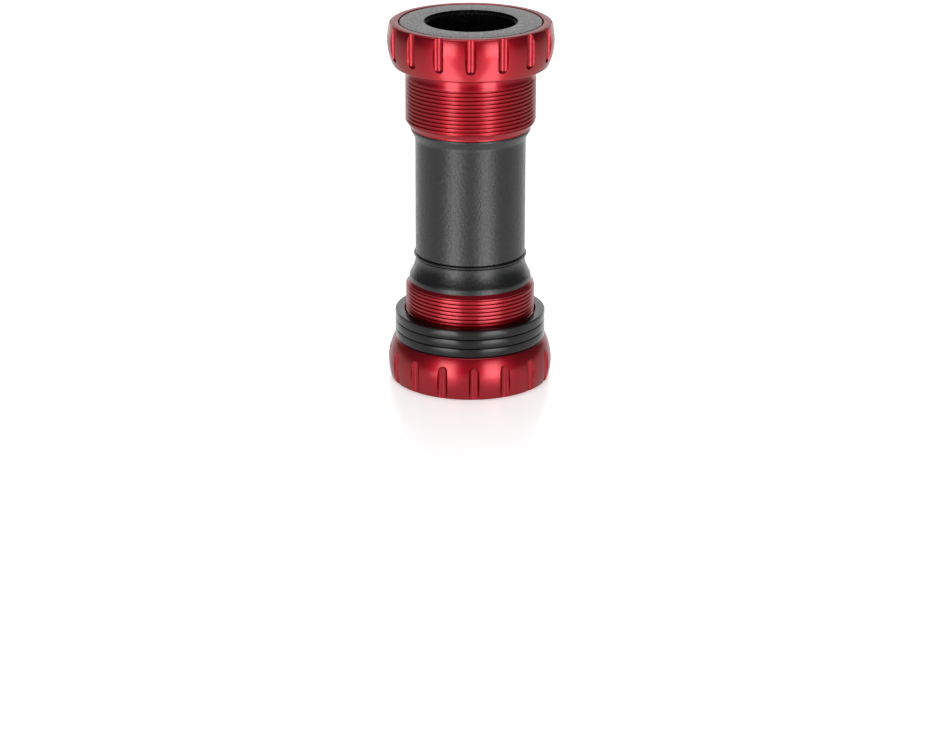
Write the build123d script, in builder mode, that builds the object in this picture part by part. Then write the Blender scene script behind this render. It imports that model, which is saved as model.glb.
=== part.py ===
"""Threaded bottom bracket with outboard bearings, standing upright on its lower cup.

Two notched cups screw into a bicycle frame's shell from both ends. Each holds a sealed ball
bearing, and a plastic dust cover lines the bearing's bore down to the crank spindle. A plastic
sleeve plugs into both cups and keeps dirt out of the middle. Spacers fit under one flange.

Millimetres, +Z up along the spindle, origin at the middle of the lower cup's rim.
"""

import os
from math import radians, sqrt, tan

from build123d import *

# What the unit is made for
spindle_diameter = 24.0
shell_width = 68.0
thread_diameter = 34.8

# Spacers between the shell and the lower cup's flange
spacer_count = 3
spacer_thickness = 2.5
spacer_width = 2.55
spacer_thread_gap = 0.4
spacer_edge = 0.25

# Cup: crowned flange, plain neck, thread and end chamfer, bored for the sleeve
flange_wall = 3.7
flange_thickness = 11.75
crown_radius = 12.6
crown_depth = 4.8
flange_edge = 0.7
neck_length = 2.95
neck_relief = 0.2
thread_length = 13.3
thread_pitch = 25.4 / 24
thread_depth = 0.6
end_chamfer_length = 1.2
end_chamfer_depth = 1.0
cup_wall = 1.65

# Spanner notches: half-round grooves, open at the rim, each closed by a quarter ball
notch_count = 16
notch_radius = 1.5
notch_depth = 1.2
notch_length = 8.2
lower_notch_turn = 3.0

# Bearing
bearing_section = 6.0
bearing_width = 7.0
bearing_depth = 1.7
race_thickness = 1.72
ball_count = 16
ball_diameter = 3.175
ball_clearance = 0.06
press_clearance = 0.01

# Cage: a crown of pockets that are open on the inboard side
cage_back = 0.85
cage_finger = 1.1
cage_gap = 0.3
pocket_clearance = 0.1

# Rubber seals in both ends of the bearing
seal_thickness = 0.5
seal_inset = 0.1
seal_seat = 0.5
seal_lip_gap = 0.15

# Dust cover: a disc over the bearing, with a sleeve that fills the bearing's bore
cover_inset = 0.2
cover_thickness = 1.1
cover_edge = 0.2
cover_overhang = 0.4
cover_gap = 0.3
cover_boss_width = 1.4
cover_sleeve_wall = 0.47
cover_sleeve_excess = 0.7
cover_bore_lip = 0.64
spindle_clearance = 0.02

# Centre sleeve, with a spigot in each cup
tube_step = 0.85
tube_wall = 1.5
spigot_length = 8.0
spigot_clearance = 0.1
spigot_lead = 0.5
lower_collar_step = 0.75
lower_flare_length = 4.0
lower_flare_radius = 8.4
bead_setback = 1.15
bead_width = 0.9
bead_proud = 0.4
bead_slope = 0.2
upper_collar_step = 0.45
upper_collar_length = 0.6
upper_cone_length = 2.3

# O-rings: round rubber, squeezed nearly square in the spigots' grooves
o_ring_width = 1.5
o_ring_corner = 0.35
o_ring_side_gap = 0.2
o_ring_fit = 0.05
o_ring_groove_depth = 1.05
o_ring_setback = 3.0

# Radii, worked outwards from the spindle and inwards from the thread
spindle_bore_radius = spindle_diameter / 2 + spindle_clearance
cover_sleeve_radius = spindle_bore_radius + cover_sleeve_wall
inner_race_radius = cover_sleeve_radius + press_clearance
outer_race_radius = inner_race_radius + bearing_section
pitch_radius = (inner_race_radius + outer_race_radius) / 2
inner_land_radius = inner_race_radius + race_thickness
outer_land_radius = outer_race_radius - race_thickness
seal_seat_radius = outer_land_radius + seal_seat
pocket_radius = outer_race_radius + press_clearance
cover_radius = outer_race_radius + cover_overhang
recess_radius = cover_radius + cover_gap
flange_radius = outer_race_radius + flange_wall
ball_radius = ball_diameter / 2
thread_radius = thread_diameter / 2
neck_radius = thread_radius - neck_relief
cup_bore_radius = thread_radius - cup_wall
spigot_radius = cup_bore_radius - spigot_clearance
groove_floor_radius = spigot_radius - o_ring_groove_depth
tube_radius = spigot_radius - tube_step
spacer_bore_radius = thread_radius + spacer_thread_gap

# Depths below a cup's outer face, and heights of the whole unit
bearing_end = bearing_depth + bearing_width
bearing_middle = bearing_depth + bearing_width / 2
thread_start = flange_thickness + neck_length
thread_end = thread_start + thread_length
cup_length = thread_end + end_chamfer_length
total_height = shell_width + spacer_count * spacer_thickness + 2 * flange_thickness

# A cup's outer face: z runs inboard, from the rim towards the middle of the unit
lower_face = Plane(origin=(0, 0, 0), x_dir=(1, 0, 0), z_dir=(0, 0, 1))
upper_face = Plane(origin=(0, 0, total_height), x_dir=(1, 0, 0), z_dir=(0, 0, -1))


def half_section(face):
    """Plane for a turned profile: local x is the radius and local y the depth below the face."""
    return Plane(origin=face.origin, x_dir=face.x_dir, z_dir=-face.y_dir)


def ring_section(inner, outer, start, end, mode=Mode.ADD):
    """Rectangle between two radii and two depths, in the sketch in progress."""
    with Locations(((inner + outer) / 2, (start + end) / 2)):
        Rectangle(outer - inner, end - start, mode=mode)


def crown(depth):
    """Radius of the flange's crown at a depth below the cup's outer face."""
    return flange_radius - crown_radius + sqrt(crown_radius**2 - (depth - crown_depth) ** 2)


def thread_grooves():
    """Thread: a ring of 60 degree groove for each whole pitch, in the sketch in progress."""
    groove_count = int(thread_length / thread_pitch)
    first = (thread_start + thread_end - (groove_count - 1) * thread_pitch) / 2
    half_mouth = 2 * thread_depth * tan(radians(30))
    with Locations(*[(thread_radius, first + n * thread_pitch) for n in range(groove_count)]):
        Polygon(
            (-thread_depth, 0),
            (thread_depth, -half_mouth),
            (thread_depth, half_mouth),
            align=None,
            mode=Mode.SUBTRACT,
        )


def make_cup(face, notch_turn):
    """Cup: one turned piece, with the spanner notches milled along its flange."""
    notch_circle = flange_radius - notch_depth + notch_radius
    with BuildPart() as cup:
        with BuildSketch(half_section(face)) as profile:
            with BuildLine():
                ThreePointArc(
                    (crown(flange_thickness), flange_thickness),
                    (flange_radius, crown_depth),
                    (crown(0), 0),
                )
                Polyline(
                    (crown(0), 0),
                    (recess_radius, 0),
                    (recess_radius, bearing_depth),
                    (pocket_radius, bearing_depth),
                    (pocket_radius, bearing_end),
                    (cup_bore_radius, bearing_end),
                    (cup_bore_radius, cup_length),
                    (thread_radius - end_chamfer_depth, cup_length),
                    (thread_radius, thread_end),
                    (thread_radius, thread_start),
                    (neck_radius, thread_start),
                    (neck_radius, flange_thickness),
                    (crown(flange_thickness), flange_thickness),
                )
            make_face()
            chamfer(profile.vertices().sort_by(Axis.X)[-2:], length=flange_edge)
            thread_grooves()
        revolve(axis=Axis.Z)
        with BuildSketch(face):
            with PolarLocations(notch_circle, notch_count, start_angle=notch_turn):
                Circle(notch_radius)
        extrude(amount=notch_length, mode=Mode.SUBTRACT)
        with Locations(face.offset(notch_length)):
            with PolarLocations(notch_circle, notch_count, start_angle=notch_turn):
                Sphere(notch_radius, mode=Mode.SUBTRACT)
    return cup.part


def raceway():
    """Ball groove, cut as a twelve-sided section that stands clear of the ball all round."""
    with Locations((pitch_radius, bearing_middle)):
        RegularPolygon(
            ball_radius + ball_clearance,
            12,
            major_radius=False,
            rotation=15,
            mode=Mode.SUBTRACT,
        )


def make_outer_race(face):
    """Outer race: seated in the cup's pocket, with a seal seat at each end."""
    seat_depth = seal_inset + seal_thickness
    with BuildPart() as race:
        with BuildSketch(half_section(face)):
            ring_section(outer_land_radius, outer_race_radius, bearing_depth, bearing_end)
            for start in (bearing_depth, bearing_end - seat_depth):
                ring_section(
                    outer_land_radius, seal_seat_radius, start, start + seat_depth, Mode.SUBTRACT
                )
            raceway()
        revolve(axis=Axis.Z)
    return race.part


def make_inner_race(face):
    """Inner race: turns with the dust cover."""
    with BuildPart() as race:
        with BuildSketch(half_section(face)):
            ring_section(inner_race_radius, inner_land_radius, bearing_depth, bearing_end)
            raceway()
        revolve(axis=Axis.Z)
    return race.part


def make_balls(face):
    """Ball set. Each ball has few flats, with its corners on the true ball."""
    half_side = ball_radius / sqrt(1 + 2 * (sqrt(2) - 1) ** 2)
    with BuildPart() as ball:
        Box(2 * half_side, 2 * half_side, 2 * half_side)
        chamfer(ball.edges(), length=half_side * (2 - sqrt(2)))
    with BuildPart(face.offset(bearing_middle)) as balls:
        with PolarLocations(pitch_radius, ball_count):
            add(ball.part)
    return balls.part


def make_cage(face):
    """Crown cage: a ring with a round pocket for each ball, snapped on from the outboard side."""
    middle = face.offset(bearing_middle)
    pocket_radius_in_cage = ball_radius + pocket_clearance
    with BuildPart(middle) as cage:
        with BuildSketch(half_section(middle)):
            ring_section(
                inner_land_radius + cage_gap,
                outer_land_radius - cage_gap,
                -pocket_radius_in_cage - cage_back,
                cage_finger,
            )
        revolve(axis=Axis.Z)
        with PolarLocations(pitch_radius, ball_count):
            Cylinder(
                pocket_radius_in_cage,
                2 * bearing_section,
                rotation=(0, 90, 0),
                mode=Mode.SUBTRACT,
            )
    return cage.part


def make_seal(face, start):
    """Rubber seal: snapped into the outer race, its lip just clear of the inner race."""
    with BuildPart() as seal:
        with BuildSketch(half_section(face)):
            ring_section(
                inner_land_radius + seal_lip_gap,
                seal_seat_radius - press_clearance,
                start,
                start + seal_thickness,
            )
        revolve(axis=Axis.Z)
    return seal.part


def make_dust_cover(face):
    """Dust cover: a disc just below the rim, a boss on the inner race and the spindle's sleeve."""
    disc_end = cover_inset + cover_thickness
    boss_radius = inner_race_radius + cover_boss_width
    with BuildPart() as cover:
        with BuildSketch(half_section(face)):
            with BuildLine():
                Polyline(
                    (spindle_bore_radius + cover_bore_lip, cover_inset),
                    (cover_radius - cover_edge, cover_inset),
                    (cover_radius, cover_inset + cover_edge),
                    (cover_radius, disc_end),
                    (boss_radius, disc_end),
                    (boss_radius, bearing_depth),
                    (cover_sleeve_radius, bearing_depth),
                    (cover_sleeve_radius, bearing_end + cover_sleeve_excess),
                    (spindle_bore_radius, bearing_end + cover_sleeve_excess),
                    (spindle_bore_radius, cover_inset + cover_bore_lip),
                    close=True,
                )
            make_face()
        revolve(axis=Axis.Z)
    return cover.part


def make_centre_sleeve():
    """Centre sleeve: a thin tube with a flared lower collar, a bead and an upper collar."""
    lower_seat = cup_length
    upper_seat = total_height - cup_length
    flare_top = lower_seat + lower_flare_length
    bead_start = flare_top + bead_setback
    bead_end = bead_start + bead_width
    collar_start = upper_seat - upper_collar_length
    tube_bore_radius = tube_radius - tube_wall
    groove_width = o_ring_width + 2 * o_ring_side_gap
    with BuildPart() as sleeve:
        with BuildSketch(Plane.XZ):
            with BuildLine():
                RadiusArc(
                    (tube_radius, flare_top),
                    (spigot_radius + lower_collar_step, lower_seat),
                    lower_flare_radius,
                )
                Polyline(
                    (spigot_radius + lower_collar_step, lower_seat),
                    (spigot_radius, lower_seat),
                    (spigot_radius, lower_seat - spigot_length + spigot_lead),
                    (spigot_radius - spigot_lead, lower_seat - spigot_length),
                    (tube_bore_radius, lower_seat - spigot_length),
                    (tube_bore_radius, upper_seat + spigot_length),
                    (spigot_radius - spigot_lead, upper_seat + spigot_length),
                    (spigot_radius, upper_seat + spigot_length - spigot_lead),
                    (spigot_radius, upper_seat),
                    (spigot_radius + upper_collar_step, upper_seat),
                    (spigot_radius + upper_collar_step, collar_start),
                    (tube_radius, collar_start - upper_cone_length),
                    (tube_radius, bead_end),
                    (tube_radius + bead_proud, bead_end - bead_slope),
                    (tube_radius + bead_proud, bead_start + bead_slope),
                    (tube_radius, bead_start),
                    (tube_radius, flare_top),
                )
            make_face()
            for start in (
                lower_seat - o_ring_setback - groove_width,
                upper_seat + o_ring_setback,
            ):
                ring_section(
                    groove_floor_radius,
                    spigot_radius,
                    start,
                    start + groove_width,
                    Mode.SUBTRACT,
                )
        revolve(axis=Axis.Z)
    return sleeve.part


def make_o_ring(start):
    """O-ring between a spigot's groove and a cup's bore."""
    with BuildPart() as ring:
        with BuildSketch(Plane.XZ) as profile:
            ring_section(
                groove_floor_radius + o_ring_fit,
                cup_bore_radius - o_ring_fit,
                start,
                start + o_ring_width,
            )
            chamfer(profile.vertices(), length=o_ring_corner)
        revolve(axis=Axis.Z)
    return ring.part


def make_spacer(start):
    """Spacer: a flat ring round the thread, with its outer edges broken."""
    with BuildPart() as spacer:
        with BuildSketch(Plane.XZ) as profile:
            ring_section(
                spacer_bore_radius,
                spacer_bore_radius + spacer_width,
                start,
                start + spacer_thickness,
            )
            chamfer(profile.vertices().group_by(Axis.X)[-1], length=spacer_edge)
        revolve(axis=Axis.Z)
    return spacer.part


pieces = {}
for side, face, notch_turn in (
    ("lower", lower_face, lower_notch_turn),
    ("upper", upper_face, 0.0),
):
    inboard_seal_start = bearing_end - seal_inset - seal_thickness
    pieces[f"{side}_cup"] = make_cup(face, notch_turn)
    pieces[f"{side}_bearing_outer_race"] = make_outer_race(face)
    pieces[f"{side}_bearing_inner_race"] = make_inner_race(face)
    pieces[f"{side}_bearing_balls"] = make_balls(face)
    pieces[f"{side}_bearing_cage"] = make_cage(face)
    pieces[f"{side}_outboard_seal"] = make_seal(face, bearing_depth + seal_inset)
    pieces[f"{side}_inboard_seal"] = make_seal(face, inboard_seal_start)
    pieces[f"{side}_dust_cover"] = make_dust_cover(face)

pieces["centre_sleeve"] = make_centre_sleeve()
o_ring_inset = o_ring_setback + o_ring_side_gap
pieces["lower_o_ring"] = make_o_ring(cup_length - o_ring_inset - o_ring_width)
pieces["upper_o_ring"] = make_o_ring(total_height - cup_length + o_ring_inset)
for number in range(spacer_count):
    height = flange_thickness + number * spacer_thickness
    pieces[f"spacer_{number + 1}"] = make_spacer(height)

os.makedirs("parts", exist_ok=True)
for name, piece in pieces.items():
    piece.label = name
    export_step(piece, f"parts/{name}.step")
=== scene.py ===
"""Looks of a threaded bottom bracket that stands on its lower cup.

Two red anodised cups hold sealed bearings behind grained dust covers. A dark plastic sleeve
joins them, and three black spacers lie on the lower cup's flange.

Metres, in the frame of the solids: +Z up along the spindle, origin at the lower cup's rim.
"""

from math import cos, pi, radians, sin, sqrt, tan

import bmesh
import bpy
from mathutils import Matrix, Vector


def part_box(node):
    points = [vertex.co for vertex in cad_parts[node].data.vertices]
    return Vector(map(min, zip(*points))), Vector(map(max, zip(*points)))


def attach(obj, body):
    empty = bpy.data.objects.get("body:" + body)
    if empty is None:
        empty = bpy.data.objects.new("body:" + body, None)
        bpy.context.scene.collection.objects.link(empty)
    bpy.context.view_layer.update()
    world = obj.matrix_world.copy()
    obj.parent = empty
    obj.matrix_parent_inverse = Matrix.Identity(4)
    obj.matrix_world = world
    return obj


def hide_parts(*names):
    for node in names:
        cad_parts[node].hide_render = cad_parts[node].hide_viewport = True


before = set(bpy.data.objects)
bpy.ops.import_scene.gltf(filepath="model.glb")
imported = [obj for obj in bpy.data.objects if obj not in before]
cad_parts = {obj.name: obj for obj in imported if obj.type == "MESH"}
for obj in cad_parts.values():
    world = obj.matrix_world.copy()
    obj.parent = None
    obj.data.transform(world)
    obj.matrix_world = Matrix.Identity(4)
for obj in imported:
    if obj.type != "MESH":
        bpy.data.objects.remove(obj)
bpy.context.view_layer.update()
mm = 0.001


# ---- Camera ---------------------------------------------------------------------------------
# A long lens, about 80 cm from the unit and 28 cm above the table, looks down at 20 degrees.
# The unit stands a hair to the right of the picture's middle and leans a hair to the right.
camera_place = Vector((0.0, -766.9, 283.4)) * mm
camera_pitch = radians(20.136)
camera_yaw = radians(0.058)
camera_roll = radians(0.16)

bpy.ops.object.camera_add(location=camera_place)
camera = bpy.context.object
camera.rotation_euler = (
    Matrix.Rotation(camera_yaw, 3, "Z")
    @ Matrix.Rotation(pi / 2 - camera_pitch, 3, "X")
    @ Matrix.Rotation(camera_roll, 3, "Z")
).to_euler()
camera.data.sensor_width = 36.0
camera.data.lens = 114.62
bpy.context.scene.camera = camera
bpy.context.scene.view_settings.view_transform = "Standard"


# ---- Table ----------------------------------------------------------------------------------
# A wide white acrylic sheet with a satin face. It takes the unit's soft shadow, and a blurred
# reflection of the red cup that stands on it.
def linear(hex_colour):
    """Linear RGBA of an sRGB colour written as six hex digits."""
    channels = [int(hex_colour[i : i + 2], 16) / 255 for i in (0, 2, 4)]
    return [c / 12.92 if c < 0.04045 else ((c + 0.055) / 1.055) ** 2.4 for c in channels] + [1.0]


def add_node(tree, kind, inputs=None, **settings):
    """Adds a node with its settings. Inputs are values, or the output sockets to link from."""
    node = tree.nodes.new(kind)
    for name, value in settings.items():
        setattr(node, name, value)
    for name, value in (inputs or {}).items():
        if isinstance(value, bpy.types.NodeSocket):
            tree.links.new(value, node.inputs[name])
        else:
            node.inputs[name].default_value = value
    return node


def new_material(name):
    """An empty material's node tree, and the tree's output node."""
    material = bpy.data.materials.new(name)
    material.use_nodes = True
    tree = material.node_tree
    tree.nodes.clear()
    return material, tree, tree.nodes.new("ShaderNodeOutputMaterial")


table_radius = 2.5
table_glow = 0.48

acrylic, tree, output = new_material("satin_white_acrylic")
light_path = add_node(tree, "ShaderNodeLightPath")
camera_or_glossy = add_node(
    tree,
    "ShaderNodeMath",
    {0: light_path.outputs["Is Camera Ray"], 1: light_path.outputs["Is Glossy Ray"]},
    operation="MAXIMUM",
)
seen = add_node(
    tree,
    "ShaderNodeMath",
    {0: camera_or_glossy.outputs[0], 1: light_path.outputs["Is Transmission Ray"]},
    operation="MAXIMUM",
)
glow = add_node(tree, "ShaderNodeMath", {0: seen.outputs[0], 1: table_glow}, operation="MULTIPLY")
sheet = add_node(
    tree,
    "ShaderNodeBsdfPrincipled",
    {
        "Base Color": linear("f0f0f0"),
        "Roughness": 0.28,
        "IOR": 1.7,
        "Emission Color": linear("ffffff"),
        "Emission Strength": glow.outputs[0],
    },
)
tree.links.new(sheet.outputs[0], output.inputs["Surface"])

bpy.ops.object.select_all(action="DESELECT")
bpy.ops.mesh.primitive_circle_add(vertices=96, radius=table_radius, fill_type="NGON")
table = bpy.context.object
table.name = "table"
table.data.materials.append(acrylic)


# ---- Lights ---------------------------------------------------------------------------------
# Two low softboxes stand left and right of the camera and two weaker ones behind, with dark gaps
# between them, so turned surfaces show soft upright highlights. Two narrow strips lie on the
# table and carry these on down. A large box hangs overhead and another stands far behind.
def add_softbox(name, place, target, width, tall, radiance, beam=180):
    """A soft lamp that faces the target. A grid narrows its beam to fewer degrees."""
    bpy.ops.object.light_add(type="AREA", location=place)
    softbox = bpy.context.object
    softbox.name = name
    softbox.data.shape = "RECTANGLE"
    softbox.data.size = width
    softbox.data.size_y = tall
    softbox.data.spread = radians(beam)
    half_beam = radians(beam) / 2
    grid_gain = tan(half_beam) / (tan(half_beam) - half_beam)
    softbox.data.energy = radiance * pi * width * tall / grid_gain
    softbox.rotation_euler = (Vector(target) - Vector(place)).to_track_quat("-Z", "Y").to_euler()
    softbox.visible_camera = False


low_azimuth = 32
low_distance = 0.5
low_width = 0.21
low_bottom = 0.002
low_height = 0.22
low_beam = 90
front_radiance = 8.0
back_radiance = 1.2
card_distance = 0.25
card_width = 0.045
card_length = 0.38
card_radiance = 4.0
overhead_place = (0, 0.1, 0.95)
overhead_side = 0.7
overhead_radiance = 2.8
behind_place = (0, 1.1, 0.4)
behind_target = (0, 0, 0.1)
behind_width = 1.4
behind_height = 0.7
behind_radiance = 1.2
fill_strength = 0.15

for name, azimuth, radiance in (
    ("front_left", -low_azimuth, front_radiance),
    ("front_right", low_azimuth, front_radiance),
    ("back_left", low_azimuth - 180, back_radiance),
    ("back_right", 180 - low_azimuth, back_radiance),
):
    x = low_distance * sin(radians(azimuth))
    y = -low_distance * cos(radians(azimuth))
    z = low_bottom + low_height / 2
    add_softbox(name, (x, y, z), (0, 0, z), low_width, low_height, radiance, low_beam)
for name, azimuth in (("card_left", -low_azimuth), ("card_right", low_azimuth)):
    x = card_distance * sin(radians(azimuth))
    y = -card_distance * cos(radians(azimuth))
    add_softbox(name, (x, y, low_bottom), (x, y, 1), card_width, card_length, card_radiance)
    # Each strip shines straight up, and its long side points at the unit.
    bpy.context.object.rotation_euler = (pi, 0, radians(azimuth))
add_softbox(
    "overhead", overhead_place, (0, 0, 0), overhead_side, overhead_side, overhead_radiance
)
add_softbox(
    "far_behind", behind_place, behind_target, behind_width, behind_height, behind_radiance
)

world = bpy.data.worlds.new("studio")
world.use_nodes = True
world.node_tree.nodes.clear()
room = add_node(
    world.node_tree,
    "ShaderNodeBackground",
    {"Color": linear("ffffff"), "Strength": fill_strength},
)
add_node(world.node_tree, "ShaderNodeOutputWorld", {"Surface": room.outputs[0]})
bpy.context.scene.world = world


# ---- Cups -----------------------------------------------------------------------------------
# Each cup is turned from aluminium bar, bored for its bearing, threaded 24 turns to the inch,
# milled with sixteen notches for the spanner, and anodised red. The drive side, here the lower
# one, has a left-hand thread, so the upper cup is its mirror image.
def draw_outline(name, corners):
    """A closed wire through (radius, height) corners in the XZ plane, left in edit mode."""
    bpy.ops.object.select_all(action="DESELECT")
    bpy.ops.mesh.primitive_plane_add(size=mm, location=(0, 0, 0))
    piece = bpy.context.object
    piece.name = name
    bpy.ops.object.mode_set(mode="EDIT")
    bpy.ops.mesh.merge(type="CENTER")
    bpy.ops.transform.translate(value=(corners[0][0], 0, corners[0][1]))
    for start, end in zip(corners, corners[1:] + corners[:1]):
        step = (end[0] - start[0], 0, end[1] - start[1])
        bpy.ops.mesh.extrude_region_move(TRANSFORM_OT_translate={"value": step})
    bpy.ops.mesh.select_all(action="SELECT")
    bpy.ops.mesh.remove_doubles(threshold=weld_distance)
    return piece


def select_corner(piece, place):
    """Selects the vertices of a piece in edit mode that lie at a place."""
    bpy.ops.mesh.select_all(action="DESELECT")
    mesh = bmesh.from_edit_mesh(piece.data)
    for vertex in mesh.verts:
        if (vertex.co - place).length < weld_distance:
            vertex.select_set(True)
    mesh.select_flush_mode()
    bmesh.update_edit_mesh(piece.data)


def finish_turned(piece):
    """Spins the outline in edit mode a full turn and closes the seam."""
    bpy.ops.mesh.select_all(action="SELECT")
    bpy.ops.mesh.spin(steps=turn_steps, angle=2 * pi, center=(0, 0, 0), axis=(0, 0, 1))
    bpy.ops.mesh.select_all(action="SELECT")
    bpy.ops.mesh.remove_doubles(threshold=weld_distance)
    bpy.ops.mesh.normals_make_consistent(inside=False)
    bpy.ops.object.mode_set(mode="OBJECT")
    bpy.ops.object.shade_smooth_by_angle(angle=smooth_angle)


def turned(name, corners, rounds=()):
    """A turned piece. rounds pairs a radius with the numbers of the corners that it rounds."""
    piece = draw_outline(name, corners)
    for radius, numbers in rounds:
        for number in numbers:
            select_corner(piece, Vector((corners[number][0], 0, corners[number][1])))
            bpy.ops.mesh.bevel(offset=radius, segments=round_segments, affect="VERTICES")
    finish_turned(piece)
    return piece


def copy_round(count):
    """Copies the selection in edit mode round the unit's axis, for count of them in all."""
    bpy.ops.mesh.spin(
        steps=count - 1,
        dupli=True,
        angle=2 * pi * (count - 1) / count,
        center=(0, 0, 0),
        axis=(0, 0, 1),
    )


def smooth_again(piece):
    """Smooths the piece's faces once more, with its edges left sharp, after a cut."""
    bpy.ops.object.select_all(action="DESELECT")
    piece.select_set(True)
    bpy.context.view_layer.objects.active = piece
    bpy.ops.object.shade_smooth_by_angle(angle=smooth_angle)


def cut_with(piece, cutter):
    """Takes the cutter's shape out of the piece and removes the cutter."""
    cutting = piece.modifiers.new("cut", "BOOLEAN")
    cutting.operation = "DIFFERENCE"
    cutting.solver = "MANIFOLD"
    cutting.object = cutter
    bpy.context.view_layer.objects.active = piece
    bpy.ops.object.modifier_apply(modifier=cutting.name)
    bpy.data.objects.remove(cutter)


turn_steps = 256
round_segments = 4
smooth_angle = radians(30)
weld_distance = 0.001 * mm

inboard_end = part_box("lower_cup")[1]
flange_radius = inboard_end.x
cup_length = inboard_end.z
flange_thickness = 11.75 * mm
crown_radius = 15.0 * mm
crown_height = 4.8 * mm
crown_points = 24
flange_edge = 0.9 * mm
neck_radius = 17.05 * mm
neck_flare = 12.4 * mm
neck_top = 14.6 * mm
neck_points = 5
thread_radius = 17.4 * mm
thread_top = 26.5 * mm
lip_radius = 16.2 * mm
lip_bottom = 28.25 * mm
lip_edge = 28.6 * mm
lip_top = 28.8 * mm
end_radius = 15.85 * mm
bore_radius = 15.75 * mm
pocket_radius = 18.51 * mm
pocket_top = 8.7 * mm
recess_radius = 19.2 * mm
recess_top = 1.7 * mm
rim_edge = 0.3 * mm
small_edge = 0.15 * mm

# The flange's side is an arc that bulges most at crown_height.
crown_centre = flange_radius - crown_radius
crown = []
for point in range(crown_points + 1):
    height = flange_thickness * point / crown_points
    crown.append((crown_centre + sqrt(crown_radius**2 - (height - crown_height) ** 2), height))

# The neck swells to the thread in a parabola.
neck = []
for point in range(neck_points + 1):
    rise = point / neck_points
    radius = neck_radius + (thread_radius - neck_radius) * rise**2
    neck.append((radius, neck_flare + (neck_top - neck_flare) * rise))

cup_corners = [
    (recess_radius, 0.0),
    *crown,
    (neck_radius, flange_thickness),
    *neck,
    (thread_radius, thread_top),
    (lip_radius, lip_bottom),
    (lip_radius, lip_edge),
    (end_radius, lip_top),
    (end_radius, cup_length),
    (bore_radius, cup_length),
    (bore_radius, pocket_top),
    (pocket_radius, pocket_top),
    (pocket_radius, recess_top),
    (recess_radius, recess_top),
]
rim_corner = cup_corners.index(crown[0])
flange_corner = cup_corners.index(crown[-1])
lip_corner = cup_corners.index((lip_radius, lip_bottom))
cup = turned(
    "lower_cup_body",
    cup_corners,
    [
        (flange_edge, (rim_corner, flange_corner)),
        (rim_edge, (0,)),
        (small_edge, (lip_corner, lip_corner + 1)),
    ],
)

# The thread is cut with a blunt 60 degree tool that moves one pitch a turn, from past the end of
# the cup down to the neck. It is turned half a facet, so its corners fall between the cup's.
inch = 25.4 * mm
pitch = inch / 24
thread_depth = 0.45 * mm
tool_tip = pitch / 7
tool_proud = 0.05 * mm
tool_turns = 15
tool_slope = tan(radians(60) / 2)
tool_start = radians(90)
half_facet = pi / turn_steps

tool_foot = thread_radius - thread_depth
tool_head = thread_radius + tool_proud
head_width = tool_tip + 2 * (thread_depth + tool_proud) * tool_slope
tool_corners = [
    (tool_foot, -tool_tip / 2),
    (tool_head, -head_width / 2),
    (tool_head, head_width / 2),
    (tool_foot, tool_tip / 2),
]
thread_tool = draw_outline("thread_tool", tool_corners)
bpy.ops.object.mode_set(mode="OBJECT")
climb = thread_tool.modifiers.new("climb", "SCREW")
climb.screw_offset = -pitch
climb.iterations = tool_turns
climb.steps = climb.render_steps = turn_steps
bpy.ops.object.modifier_apply(modifier=climb.name)
bpy.ops.object.mode_set(mode="EDIT")
bpy.ops.mesh.select_all(action="DESELECT")
bpy.ops.mesh.select_non_manifold()
bpy.ops.mesh.fill_holes(sides=4)
bpy.ops.mesh.select_all(action="SELECT")
bpy.ops.mesh.normals_make_consistent(inside=False)
bpy.ops.object.mode_set(mode="OBJECT")
thread_tool.rotation_euler.z = tool_start + half_facet
thread_tool.location.z = neck_top + tool_turns * pitch
bpy.ops.object.transform_apply(location=True, rotation=True)
cut_with(cup, thread_tool)

# Each notch is milled with a ball-ended cutter that enters at the rim.
notch_count = 16
notch_radius = 1.5 * mm
notch_depth = 1.2 * mm
notch_length = 8.2 * mm
cutter_overrun = 1.0 * mm
notch_circle = flange_radius - notch_depth + notch_radius

bpy.ops.object.select_all(action="DESELECT")
bpy.ops.mesh.primitive_uv_sphere_add(
    segments=48,
    ring_count=24,
    radius=notch_radius,
    location=(0, -notch_circle, notch_length),
)
notch_tool = bpy.context.object
bpy.ops.object.transform_apply(location=True)
bpy.ops.object.mode_set(mode="EDIT")
bpy.ops.mesh.bisect(plane_co=(0, 0, notch_length), plane_no=(0, 0, 1), clear_inner=True)
bpy.ops.mesh.extrude_region_move(
    TRANSFORM_OT_translate={"value": (0, 0, -notch_length - cutter_overrun)}
)
bpy.ops.mesh.edge_face_add()
bpy.ops.mesh.select_all(action="SELECT")
bpy.ops.mesh.normals_make_consistent(inside=False)
copy_round(notch_count)
bpy.ops.object.mode_set(mode="OBJECT")
cut_with(cup, notch_tool)
smooth_again(cup)

# Anodised aluminium: dyed red under a clear hard skin, so its colour is deep and its highlights
# turn pale. The turning marks run round it, drawn three times as far apart as real ones, to show.
mark_length = mm / 0.3
mark_spacing = mm / 6

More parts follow.
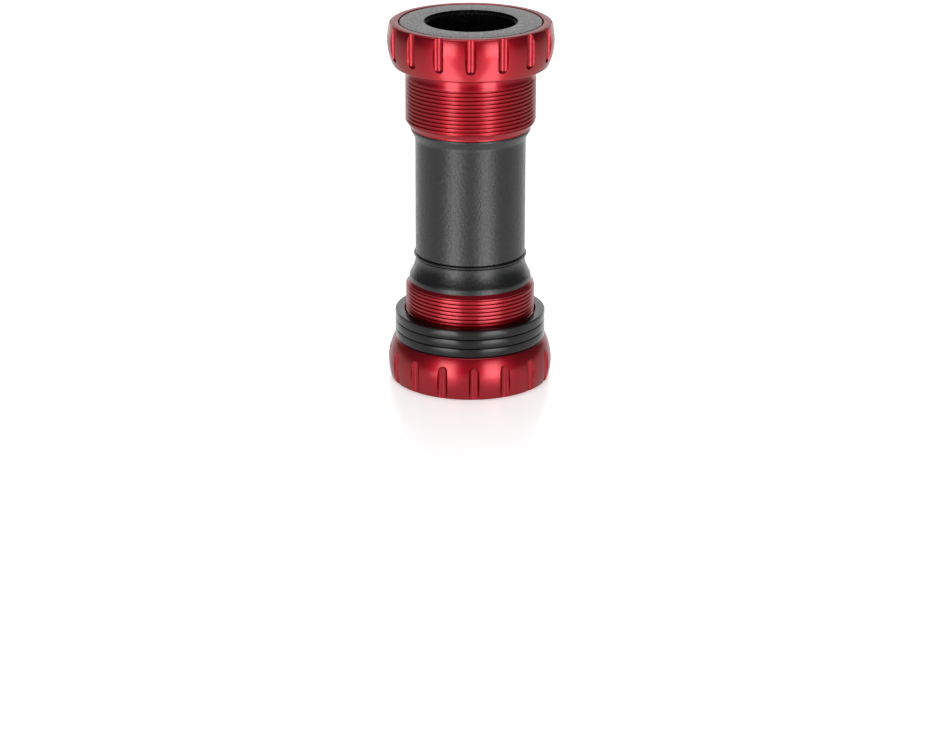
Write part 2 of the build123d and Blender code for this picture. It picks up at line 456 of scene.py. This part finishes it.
anodised, tree, output = new_material("red_anodised_aluminium")
place = add_node(tree, "ShaderNodeTexCoord")
stretch = add_node(
    tree,
    "ShaderNodeMapping",
    {
        "Vector": place.outputs["Object"],
        "Scale": (1 / mark_length, 1 / mark_length, 1 / mark_spacing),
    },
)
marks = add_node(
    tree, "ShaderNodeTexNoise", {"Vector": stretch.outputs[0], "Scale": 1.0, "Detail": 3.0}
)
roughness = add_node(
    tree,
    "ShaderNodeMapRange",
    {"Value": marks.outputs["Fac"], "To Min": 0.32, "To Max": 0.44},
)
relief = add_node(
    tree,
    "ShaderNodeBump",
    {"Height": marks.outputs["Fac"], "Strength": 0.08, "Distance": 0.02 * mm},
)
metal = add_node(
    tree,
    "ShaderNodeBsdfPrincipled",
    {
        "Base Color": linear("960419"),
        "Metallic": 1.0,
        "Roughness": roughness.outputs[0],
        "Specular Tint": linear("a08890"),
        "Coat Weight": 0.6,
        "Coat Roughness": 0.2,
        "Normal": relief.outputs[0],
    },
)
tree.links.new(metal.outputs[0], output.inputs["Surface"])


def dress(piece, body, node, material):
    """Gives a finished piece its material and place in the unit; hides the solid it stands for.
    """
    piece.data.materials.clear()
    piece.data.materials.append(material)
    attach(piece, body)
    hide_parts(node)


def settle(piece):
    """Moves a piece's turn, scale and place into its mesh, with its faces outward."""
    bpy.ops.object.select_all(action="DESELECT")
    piece.select_set(True)
    bpy.context.view_layer.objects.active = piece
    bpy.ops.object.transform_apply(location=True, rotation=True, scale=True)
    bpy.ops.object.mode_set(mode="EDIT")
    bpy.ops.mesh.select_all(action="SELECT")
    bpy.ops.mesh.normals_make_consistent(inside=False)
    bpy.ops.object.mode_set(mode="OBJECT")


def own_copy(piece, name):
    """A copy of a piece with a mesh of its own."""
    twin = piece.copy()
    twin.data = piece.data.copy()
    twin.name = name
    bpy.context.collection.objects.link(twin)
    return twin


def upper_twin(piece):
    """A mirrored copy of a lower piece, in its place at the top of the unit."""
    twin = own_copy(piece, piece.name.replace("lower", "upper"))
    twin.scale.z = -1
    twin.location.z = unit_height
    settle(twin)
    return twin


lower_notch_turn = radians(3)
unit_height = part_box("upper_cup")[1].z

upper_cup = upper_twin(cup)
cup.rotation_euler.z = lower_notch_turn
settle(cup)
dress(cup, "lower_cup", "lower_cup", anodised)
dress(upper_cup, "upper_cup", "upper_cup", anodised)


# ---- Bearings -------------------------------------------------------------------------------
# Each cup holds a 25 x 37 x 7 mm ball bearing, pressed in from outside: two ground steel races,
# sixteen black ceramic balls in a nylon crown cage, and a rubber seal at each end.
def groove_arc(side):
    """The ball groove's (radius, height) points across a race. side is -1 inner, 1 outer."""
    half_mouth = sqrt(groove_radius**2 - (pitch_radius - inner_land) ** 2)
    points = []
    for step in range(groove_points + 1):
        rise = half_mouth * (2 * step / groove_points - 1)
        reach = sqrt(groove_radius**2 - rise**2)
        points.append((pitch_radius + side * reach, bearing_middle + rise))
    return points


bearing_start = 1.7 * mm
bearing_end = 8.7 * mm
bearing_middle = (bearing_start + bearing_end) / 2
pitch_radius = 15.5 * mm
ball_radius = 3.175 * mm / 2
ball_count = 16
groove_radius = 1.65 * mm
groove_points = 12
inner_bore = 12.5 * mm
inner_land = 14.22 * mm
outer_land = 16.78 * mm
outer_radius = 18.5 * mm
seal_seat = 17.28 * mm
seat_depth = 0.6 * mm
bore_edge = 0.25 * mm
land_edge = 0.12 * mm
outer_edge = 0.3 * mm

inner_race = turned(
    "lower_inner_race_ring",
    [
        (inner_bore, bearing_start),
        (inner_land, bearing_start),
        *groove_arc(-1),
        (inner_land, bearing_end),
        (inner_bore, bearing_end),
    ],
    [(bore_edge, (0, groove_points + 4)), (land_edge, (1, groove_points + 3))],
)
outer_race = turned(
    "lower_outer_race_ring",
    [
        (outer_radius, bearing_start),
        (seal_seat, bearing_start),
        (seal_seat, bearing_start + seat_depth),
        (outer_land, bearing_start + seat_depth),
        *groove_arc(1),
        (outer_land, bearing_end - seat_depth),
        (seal_seat, bearing_end - seat_depth),
        (seal_seat, bearing_end),
        (outer_radius, bearing_end),
    ],
    [(outer_edge, (0, groove_points + 8))],
)

# Ground steel: bright, with grinding lines round the ring that blur its reflections. Real lines
# are ten times as fine as these, which are drawn to show.
line_length = 5 * mm
line_spacing = mm / 9

steel, tree, output = new_material("ground_bearing_steel")
place = add_node(tree, "ShaderNodeTexCoord")
stretch = add_node(
    tree,
    "ShaderNodeMapping",
    {
        "Vector": place.outputs["Object"],
        "Scale": (1 / line_length, 1 / line_length, 1 / line_spacing),
    },
)
lines = add_node(
    tree, "ShaderNodeTexNoise", {"Vector": stretch.outputs[0], "Scale": 1.0, "Detail": 4.0}
)
shade = add_node(
    tree,
    "ShaderNodeMix",
    {"Factor": lines.outputs["Fac"], "A": linear("a9a9a6"), "B": linear("cfcfcb")},
    data_type="RGBA",
)
roughness = add_node(
    tree, "ShaderNodeMapRange", {"Value": lines.outputs["Fac"], "To Min": 0.2, "To Max": 0.34}
)
relief = add_node(
    tree,
    "ShaderNodeBump",
    {"Height": lines.outputs["Fac"], "Strength": 0.1, "Distance": 0.01 * mm},
)
metal = add_node(
    tree,
    "ShaderNodeBsdfPrincipled",
    {
        "Base Color": shade.outputs["Result"],
        "Metallic": 1.0,
        "Roughness": roughness.outputs[0],
        "Normal": relief.outputs[0],
    },
)
tree.links.new(metal.outputs[0], output.inputs["Surface"])

for side, ring in (("lower", inner_race), ("upper", upper_twin(inner_race))):
    dress(ring, f"{side}_turning", f"{side}_bearing_inner_race", steel)
for side, ring in (("lower", outer_race), ("upper", upper_twin(outer_race))):
    dress(ring, f"{side}_cup", f"{side}_bearing_outer_race", steel)

# One ball is a cube cast to a true sphere. It is then copied round the pitch circle.
bpy.ops.object.select_all(action="DESELECT")
bpy.ops.mesh.primitive_cube_add(size=2 * ball_radius, location=(0, 0, 0))
balls = bpy.context.object
balls.name = "lower_ball_set"
divide = balls.modifiers.new("divide", "SUBSURF")
divide.subdivision_type = "SIMPLE"
divide.levels = divide.render_levels = 3
swell = balls.modifiers.new("swell", "CAST")
swell.factor = 1.0
swell.use_radius_as_size = False
swell.size = ball_radius
for modifier in ("divide", "swell"):
    bpy.ops.object.modifier_apply(modifier=modifier)
balls.location = (0, -pitch_radius, bearing_middle)
bpy.ops.object.transform_apply(location=True)
bpy.ops.object.mode_set(mode="EDIT")
bpy.ops.mesh.select_all(action="SELECT")
copy_round(ball_count)
bpy.ops.mesh.select_all(action="SELECT")
bpy.ops.mesh.normals_make_consistent(inside=False)
bpy.ops.object.mode_set(mode="OBJECT")
bpy.ops.object.shade_smooth()

# Silicon nitride: a polished black ceramic, nearly a mirror, with a faint cloudy grain. The
# clouds are 0.4 mm across.
cloud_size = 0.4 * mm

ceramic, tree, output = new_material("polished_silicon_nitride")
place = add_node(tree, "ShaderNodeTexCoord")
cloud = add_node(
    tree,
    "ShaderNodeTexNoise",
    {"Vector": place.outputs["Object"], "Scale": 1 / cloud_size, "Detail": 3.0},
)
shade = add_node(
    tree,
    "ShaderNodeMix",
    {"Factor": cloud.outputs["Fac"], "A": linear("101011"), "B": linear("1c1c1e")},
    data_type="RGBA",
)
roughness = add_node(
    tree, "ShaderNodeMapRange", {"Value": cloud.outputs["Fac"], "To Min": 0.05, "To Max": 0.11}
)
glaze = add_node(
    tree,
    "ShaderNodeBsdfPrincipled",
    {"Base Color": shade.outputs["Result"], "Roughness": roughness.outputs[0], "IOR": 2.0},
)
tree.links.new(glaze.outputs[0], output.inputs["Surface"])
for side, ball_set in (("lower", balls), ("upper", upper_twin(balls))):
    dress(ball_set, f"{side}_cage", f"{side}_bearing_balls", ceramic)

# The cage is a ring with a round pocket for each ball, open on the inboard side.
cage_inner = 14.52 * mm
cage_outer = 16.48 * mm
cage_back = 0.95 * mm
cage_start = bearing_middle - ball_radius - cage_back
cage_end = bearing_middle + 1.1 * mm
cage_edge = 0.2 * mm
pocket_size = 1.69 * mm

cage = turned(
    "lower_crown_cage",
    [
        (cage_inner, cage_start),
        (cage_outer, cage_start),
        (cage_outer, cage_end),
        (cage_inner, cage_end),
    ],
    [(cage_edge, (0, 1, 2, 3))],
)
bpy.ops.object.select_all(action="DESELECT")
bpy.ops.mesh.primitive_uv_sphere_add(
    segments=32,
    ring_count=16,
    radius=pocket_size,
    location=(0, -pitch_radius, bearing_middle),
)
pocket_tool = bpy.context.object
bpy.ops.object.transform_apply(location=True)
bpy.ops.object.mode_set(mode="EDIT")
copy_round(ball_count)
bpy.ops.object.mode_set(mode="OBJECT")
cut_with(cage, pocket_tool)
smooth_again(cage)

# Glass-filled nylon: black and moulded, with a dull, slightly fibrous skin. The fibres themselves
# are too fine to show, so their marks are drawn about 0.3 mm across.
fibre_size = mm / 3.5

nylon, tree, output = new_material("moulded_black_nylon")
place = add_node(tree, "ShaderNodeTexCoord")
fibres = add_node(
    tree,
    "ShaderNodeTexNoise",
    {"Vector": place.outputs["Object"], "Scale": 1 / fibre_size, "Detail": 3.0},
)
shade = add_node(
    tree,
    "ShaderNodeMix",
    {"Factor": fibres.outputs["Fac"], "A": linear("161616"), "B": linear("242423")},
    data_type="RGBA",
)
relief = add_node(
    tree,
    "ShaderNodeBump",
    {"Height": fibres.outputs["Fac"], "Strength": 0.2, "Distance": 0.01 * mm},
)
skin = add_node(
    tree,
    "ShaderNodeBsdfPrincipled",
    {
        "Base Color": shade.outputs["Result"],
        "Roughness": 0.42,
        "IOR": 1.53,
        "Normal": relief.outputs[0],
    },
)
tree.links.new(skin.outputs[0], output.inputs["Surface"])
for side, ring in (("lower", cage), ("upper", upper_twin(cage))):
    dress(ring, f"{side}_cage", f"{side}_bearing_cage", nylon)

# Each seal is a rubber ring. Its outer face is dished, with a raised ring in the dish, and thins
# to a lip by the inner race.
seal_lip = 14.37 * mm
seal_rim = 17.27 * mm
seal_thickness = 0.5 * mm
seal_inset = 0.1 * mm
seal_dish = 0.15 * mm
ridge_inner = 15.0 * mm
ridge_outer = 15.6 * mm
ridge_ramp = 0.25 * mm
border_inner = 16.65 * mm
seal_edge = 0.06 * mm

seal_start = bearing_start + seal_inset
outboard_seal = turned(
    "lower_outboard_seal_ring",
    [
        (seal_lip, seal_start + seal_dish),
        (ridge_inner - ridge_ramp, seal_start + seal_dish),
        (ridge_inner, seal_start),
        (ridge_outer, seal_start),
        (ridge_outer + seal_dish, seal_start + seal_dish),
        (border_inner - seal_dish, seal_start + seal_dish),
        (border_inner, seal_start),
        (seal_rim, seal_start),
        (seal_rim, seal_start + seal_thickness),
        (seal_lip, seal_start + seal_thickness),
    ],
    [(seal_edge, (2, 3, 6, 7))],
)
inboard_seal = own_copy(outboard_seal, "lower_inboard_seal_ring")
inboard_seal.scale.z = -1
inboard_seal.location.z = bearing_start + bearing_end
settle(inboard_seal)

# Nitrile rubber: black and matt, with the faint bloom that moulded rubber shows, in patches of
# about a millimetre.
bloom_size = mm / 0.9

rubber, tree, output = new_material("nitrile_rubber")
place = add_node(tree, "ShaderNodeTexCoord")
bloom = add_node(
    tree,
    "ShaderNodeTexNoise",
    {"Vector": place.outputs["Object"], "Scale": 1 / bloom_size, "Detail": 4.0},
)
shade = add_node(
    tree,
    "ShaderNodeMix",
    {"Factor": bloom.outputs["Fac"], "A": linear("131313"), "B": linear("202020")},
    data_type="RGBA",
)
roughness = add_node(
    tree, "ShaderNodeMapRange", {"Value": bloom.outputs["Fac"], "To Min": 0.5, "To Max": 0.7}
)
relief = add_node(
    tree,
    "ShaderNodeBump",
    {"Height": bloom.outputs["Fac"], "Strength": 0.1, "Distance": 0.02 * mm},
)
skin = add_node(
    tree,
    "ShaderNodeBsdfPrincipled",
    {
        "Base Color": shade.outputs["Result"],
        "Roughness": roughness.outputs[0],
        "IOR": 1.52,
        "Normal": relief.outputs[0],
    },
)
tree.links.new(skin.outputs[0], output.inputs["Surface"])
for place_name, seal in (("outboard", outboard_seal), ("inboard", inboard_seal)):
    twin = upper_twin(seal)
    dress(seal, "lower_cup", f"lower_{place_name}_seal", rubber)
    dress(twin, "upper_cup", f"upper_{place_name}_seal", rubber)


# ---- Dust covers ----------------------------------------------------------------------------
# A moulded plastic disc lies over each bearing, level with the cup's rim. Its boss stands on the
# inner race, and its thin sleeve lines the race's bore down to the 24 mm spindle.
cover_top = 0.03 * mm
cover_radius = 18.9 * mm
cover_back = 1.3 * mm
cover_boss = 13.9 * mm
cover_sleeve = 12.49 * mm
cover_end = 9.4 * mm
spindle_bore = 12.02 * mm
cover_mouth = 12.4 * mm
cover_step = 0.7 * mm
mouth_edge = 0.08 * mm
cover_edge = 0.4 * mm
sleeve_edge = 0.1 * mm

cover = turned(
    "lower_dust_cover_disc",
    [
        (cover_mouth, cover_top),
        (cover_radius, cover_top),
        (cover_radius, cover_back),
        (cover_boss, cover_back),
        (cover_boss, bearing_start),
        (cover_sleeve, bearing_start),
        (cover_sleeve, cover_end),
        (spindle_bore, cover_end),
        (spindle_bore, cover_step + cover_mouth - spindle_bore),
        (cover_mouth, cover_step),
    ],
    [(mouth_edge, (0,)), (cover_edge, (1,)), (sleeve_edge, (2, 6))],
)

# Moulded acetal with a spark-eroded grain: dark, dull, and grey where light skims it. Its colour
# is painted near black in the grain's pits, as painted shade, and grey on the tops, as painted
# sheen. The grain is 0.1 mm across on the real one and drawn four times as coarse, to show. The
# bore is painted near black, with its reflection turned down, as painted shade down the hole.
grain_size = mm / 2.4

acetal, tree, output = new_material("grained_dark_acetal")
place = add_node(tree, "ShaderNodeTexCoord")
grain = add_node(
    tree,
    "ShaderNodeTexNoise",
    {"Vector": place.outputs["Object"], "Scale": 1 / grain_size, "Detail": 2.0},
)
pits_and_pit_shade = add_node(
    tree,
    "ShaderNodeMapRange",
    {"Value": grain.outputs["Fac"], "From Min": 0.42, "From Max": 0.58},
)
# Near black in the pits is painted shade, and grey on the tops is painted sheen, on a dark
# plastic.
shade = add_node(
    tree,
    "ShaderNodeMix",
    {"Factor": pits_and_pit_shade.outputs[0], "A": linear("050505"), "B": linear("868483")},
    data_type="RGBA",
)
across = add_node(
    tree,
    "ShaderNodeMapping",
    {"Vector": place.outputs["Object"], "Scale": (1.0, 1.0, 0.0)},
)
reach = add_node(tree, "ShaderNodeVectorMath", {0: across.outputs[0]}, operation="LENGTH")
face_not_painted_bore = add_node(
    tree,
    "ShaderNodeMapRange",
    {
        "Value": reach.outputs["Value"],
        "From Min": cover_mouth,
        "From Max": cover_mouth + mouth_edge,
    },
)
# Inside the mouth the bore is painted near black: painted shade down the hole.
colour = add_node(
    tree,
    "ShaderNodeMix",
    {"Factor": face_not_painted_bore.outputs[0], "A": linear("040404"), "B": shade.outputs["Result"]},
    data_type="RGBA",
)
# The bore's reflection is turned down as well, as part of the same painted shade.
shine_dulled_in_painted_bore = add_node(
    tree, "ShaderNodeMapRange", {"Value": face_not_painted_bore.outputs[0], "To Min": 0.1, "To Max": 0.6}
)
roughness = add_node(
    tree, "ShaderNodeMapRange", {"Value": pits_and_pit_shade.outputs[0], "To Min": 0.25, "To Max": 0.6}
)
relief = add_node(
    tree,
    "ShaderNodeBump",
    {"Height": pits_and_pit_shade.outputs[0], "Strength": 0.6, "Distance": 0.12 * mm},
)
skin = add_node(
    tree,
    "ShaderNodeBsdfPrincipled",
    {
        "Base Color": colour.outputs["Result"],
        "Roughness": roughness.outputs[0],
        "Specular IOR Level": shine_dulled_in_painted_bore.outputs[0],
        "Normal": relief.outputs[0],
    },
)
tree.links.new(skin.outputs[0], output.inputs["Surface"])
for side, disc in (("lower", cover), ("upper", upper_twin(cover))):
    dress(disc, f"{side}_turning", f"{side}_dust_cover", acetal)


# ---- Centre sleeve --------------------------------------------------------------------------
# A moulded plastic tube keeps dirt off the spindle. A grooved spigot at each end takes an O-ring
# and plugs into a cup. The lower end flares below a thin bead, the upper end cones to a collar,
# and both lap over the cups' ends.
sleeve_bottom, sleeve_top = (corner.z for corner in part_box("centre_sleeve"))
lower_seat = cup_length
upper_seat = unit_height - cup_length
sleeve_bore = 13.3 * mm
tube_radius = 14.8 * mm
spigot_radius = 15.65 * mm
spigot_lead = 0.5 * mm
ring_groove_floor = 14.6 * mm
ring_groove_near = 3.0 * mm
ring_groove_far = 4.9 * mm
# The flare's curve, as (radius, height) from the skirt up to the tube.
flare_steps = (
    (16.4 * mm, 29.1 * mm),
    (16.15 * mm, 29.65 * mm),
    (15.75 * mm, 30.4 * mm),
    (15.15 * mm, 31.8 * mm),
    (tube_radius, 33.1 * mm),
)
skirt_radius = 16.45 * mm
skirt_bore = 15.9 * mm
skirt_gap = 0.05 * mm
step_gap = 0.15 * mm
lower_skirt = 1.22 * mm
upper_skirt = 0.4 * mm
bead_middle = 35.05 * mm
bead_half = 0.35 * mm
bead_proud = 0.45 * mm
bead_radius = tube_radius + bead_proud
line_width = 0.3 * mm
line_depth = 0.25 * mm
cone_start = upper_seat - 2.3 * mm
collar_start = upper_seat - 0.1 * mm
collar_radius = 16.05 * mm
bead_edge = 0.34 * mm
collar_edge = 0.06 * mm
tube_bend = 0.6 * mm
skirt_bend = 0.3 * mm

sleeve_corners = [
    (sleeve_bore, sleeve_bottom),
    (spigot_radius - spigot_lead, sleeve_bottom),
    (spigot_radius, sleeve_bottom + spigot_lead),
    (spigot_radius, lower_seat - ring_groove_far),
    (ring_groove_floor, lower_seat - ring_groove_far),
    (ring_groove_floor, lower_seat - ring_groove_near),
    (spigot_radius, lower_seat - ring_groove_near),
    (spigot_radius, lower_seat),
    (skirt_bore, lower_seat),
    (skirt_bore, lip_top + step_gap),
    (lip_radius + skirt_gap, lip_edge + step_gap),
    (lip_radius + skirt_gap, lip_bottom + skirt_gap),
    (skirt_radius, lower_seat - lower_skirt),
    *flare_steps,
    (tube_radius, bead_middle - bead_half - line_width),
    (tube_radius - line_depth, bead_middle - bead_half),
    (bead_radius, bead_middle - bead_half),
    (bead_radius, bead_middle + bead_half),
    (tube_radius - line_depth, bead_middle + bead_half),
    (tube_radius, bead_middle + bead_half + line_width),
    (tube_radius, cone_start),
    (collar_radius, collar_start),
    (collar_radius, upper_seat + upper_skirt),
    (skirt_bore, upper_seat + upper_skirt),
    (skirt_bore, upper_seat),
    (spigot_radius, upper_seat),
    (spigot_radius, upper_seat + ring_groove_near),
    (ring_groove_floor, upper_seat + ring_groove_near),
    (ring_groove_floor, upper_seat + ring_groove_far),
    (spigot_radius, upper_seat + ring_groove_far),
    (spigot_radius, sleeve_top - spigot_lead),
    (spigot_radius - spigot_lead, sleeve_top),
    (sleeve_bore, sleeve_top),
]
flare_corner = sleeve_corners.index(flare_steps[0])
bead_corner = sleeve_corners.index((bead_radius, bead_middle - bead_half))
cone_corner = sleeve_corners.index((tube_radius, cone_start))
sleeve = turned(
    "centre_sleeve_tube",
    sleeve_corners,
    [
        (bead_edge, (bead_corner, bead_corner + 1)),
        (collar_edge, (cone_corner + 1, cone_corner + 2)),
        (tube_bend, (cone_corner, flare_corner + 3, flare_corner + 4)),
        (skirt_bend, (flare_corner, flare_corner + 1, flare_corner + 2)),
    ],
)

# Moulded polypropylene: charcoal and satin, mottled by the flow of the melt in patches of about
# a millimetre.
mottle_size = mm / 1.1

polypropylene, tree, output = new_material("moulded_charcoal_polypropylene")
place = add_node(tree, "ShaderNodeTexCoord")
mottle = add_node(
    tree,
    "ShaderNodeTexNoise",
    {
        "Vector": place.outputs["Object"],
        "Scale": 1 / mottle_size,
        "Detail": 5.0,
        "Roughness": 0.65,
    },
)
flow = add_node(
    tree,
    "ShaderNodeMapRange",
    {"Value": mottle.outputs["Fac"], "From Min": 0.35, "From Max": 0.65},
)
shade = add_node(
    tree,
    "ShaderNodeMix",
    {"Factor": flow.outputs[0], "A": linear("040405"), "B": linear("0e0f10")},
    data_type="RGBA",
)
roughness = add_node(
    tree, "ShaderNodeMapRange", {"Value": flow.outputs[0], "To Min": 0.38, "To Max": 0.28}
)
relief = add_node(
    tree,
    "ShaderNodeBump",
    {"Height": flow.outputs[0], "Strength": 0.5, "Distance": 0.06 * mm},
)
skin = add_node(
    tree,
    "ShaderNodeBsdfPrincipled",
    {
        "Base Color": shade.outputs["Result"],
        "Roughness": roughness.outputs[0],
        "IOR": 1.49,
        "Specular IOR Level": 0.5,
        "Normal": relief.outputs[0],
    },
)
tree.links.new(skin.outputs[0], output.inputs["Surface"])
dress(sleeve, "centre_sleeve", "centre_sleeve", polypropylene)


# ---- O-rings --------------------------------------------------------------------------------
# A rubber ring in each spigot's groove seals the sleeve in its cup. The cup's bore squeezes it,
# so its section is nearly square, with round corners.
o_ring_inner = 14.65 * mm
o_ring_outer = 15.7 * mm
o_ring_edge = 0.45 * mm
o_ring_start, o_ring_end = (corner.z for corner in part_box("lower_o_ring"))

o_ring = turned(
    "lower_o_ring_squeezed",
    [
        (o_ring_inner, o_ring_start),
        (o_ring_outer, o_ring_start),
        (o_ring_outer, o_ring_end),
        (o_ring_inner, o_ring_end),
    ],
    [(o_ring_edge, (0, 1, 2, 3))],
)

# Greased nitrile rubber: black, with a smooth wet sheen. The film of grease is thicker and
# thinner in patches of under two millimetres.
film_size = mm / 0.6

greased, tree, output = new_material("greased_nitrile_rubber")
place = add_node(tree, "ShaderNodeTexCoord")
film = add_node(
    tree,
    "ShaderNodeTexNoise",
    {"Vector": place.outputs["Object"], "Scale": 1 / film_size, "Detail": 3.0},
)
shade = add_node(
    tree,
    "ShaderNodeMix",
    {"Factor": film.outputs["Fac"], "A": linear("0f0f0f"), "B": linear("1b1b1a")},
    data_type="RGBA",
)
roughness = add_node(
    tree, "ShaderNodeMapRange", {"Value": film.outputs["Fac"], "To Min": 0.25, "To Max": 0.45}
)
skin = add_node(
    tree,
    "ShaderNodeBsdfPrincipled",
    {"Base Color": shade.outputs["Result"], "Roughness": roughness.outputs[0], "IOR": 1.52},
)
tree.links.new(skin.outputs[0], output.inputs["Surface"])
for side, ring in (("lower", o_ring), ("upper", upper_twin(o_ring))):
    dress(ring, f"{side}_o_ring", f"{side}_o_ring", greased)


# ---- Spacers --------------------------------------------------------------------------------
# Three loose moulded rings, 2.5 mm thick, go round the lower cup's thread and lie on each other
# on its flange. They make up a 68 mm shell to the width that the unit fits.
spacer_bore = 17.8 * mm
spacer_radius = 20.35 * mm
spacer_count = 3
spacer_edge = 0.3 * mm
spacer_bore_edge = 0.12 * mm
spacer_start, spacer_end = (corner.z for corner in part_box("spacer_1"))

spacer = turned(
    "spacer_1_ring",
    [
        (spacer_bore, spacer_start),
        (spacer_radius, spacer_start),
        (spacer_radius, spacer_end),
        (spacer_bore, spacer_end),
    ],
    [(spacer_edge, (1, 2)), (spacer_bore_edge, (0, 3))],
)

# Injection-moulded nylon: black and satin, with faint rings from the turned mould, drawn 0.4 mm
# apart, wider than on the real one, to show.
ring_length = 2.5 * mm
ring_spacing = 0.4 * mm

spacer_nylon, tree, output = new_material("satin_black_nylon")
place = add_node(tree, "ShaderNodeTexCoord")
stretch = add_node(
    tree,
    "ShaderNodeMapping",
    {
        "Vector": place.outputs["Object"],
        "Scale": (1 / ring_length, 1 / ring_length, 1 / ring_spacing),
    },
)
rings = add_node(
    tree, "ShaderNodeTexNoise", {"Vector": stretch.outputs[0], "Scale": 1.0, "Detail": 3.0}
)
shade = add_node(
    tree,
    "ShaderNodeMix",
    {"Factor": rings.outputs["Fac"], "A": linear("050505"), "B": linear("0a0a0b")},
    data_type="RGBA",
)
roughness = add_node(
    tree, "ShaderNodeMapRange", {"Value": rings.outputs["Fac"], "To Min": 0.17, "To Max": 0.25}
)
relief = add_node(
    tree,
    "ShaderNodeBump",
    {"Height": rings.outputs["Fac"], "Strength": 0.12, "Distance": 0.02 * mm},
)
skin = add_node(
    tree,
    "ShaderNodeBsdfPrincipled",
    {
        "Base Color": shade.outputs["Result"],
        "Roughness": roughness.outputs[0],
        "IOR": 1.53,
        "Specular IOR Level": 0.3,
        "Normal": relief.outputs[0],
    },
)
tree.links.new(skin.outputs[0], output.inputs["Surface"])

for number in range(1, spacer_count + 1):
    ring = spacer
    if number > 1:
        ring = own_copy(spacer, f"spacer_{number}_ring")
        ring.location.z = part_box(f"spacer_{number}")[0].z - spacer_start
        settle(ring)
    dress(ring, f"spacer_{number}", f"spacer_{number}", spacer_nylon)
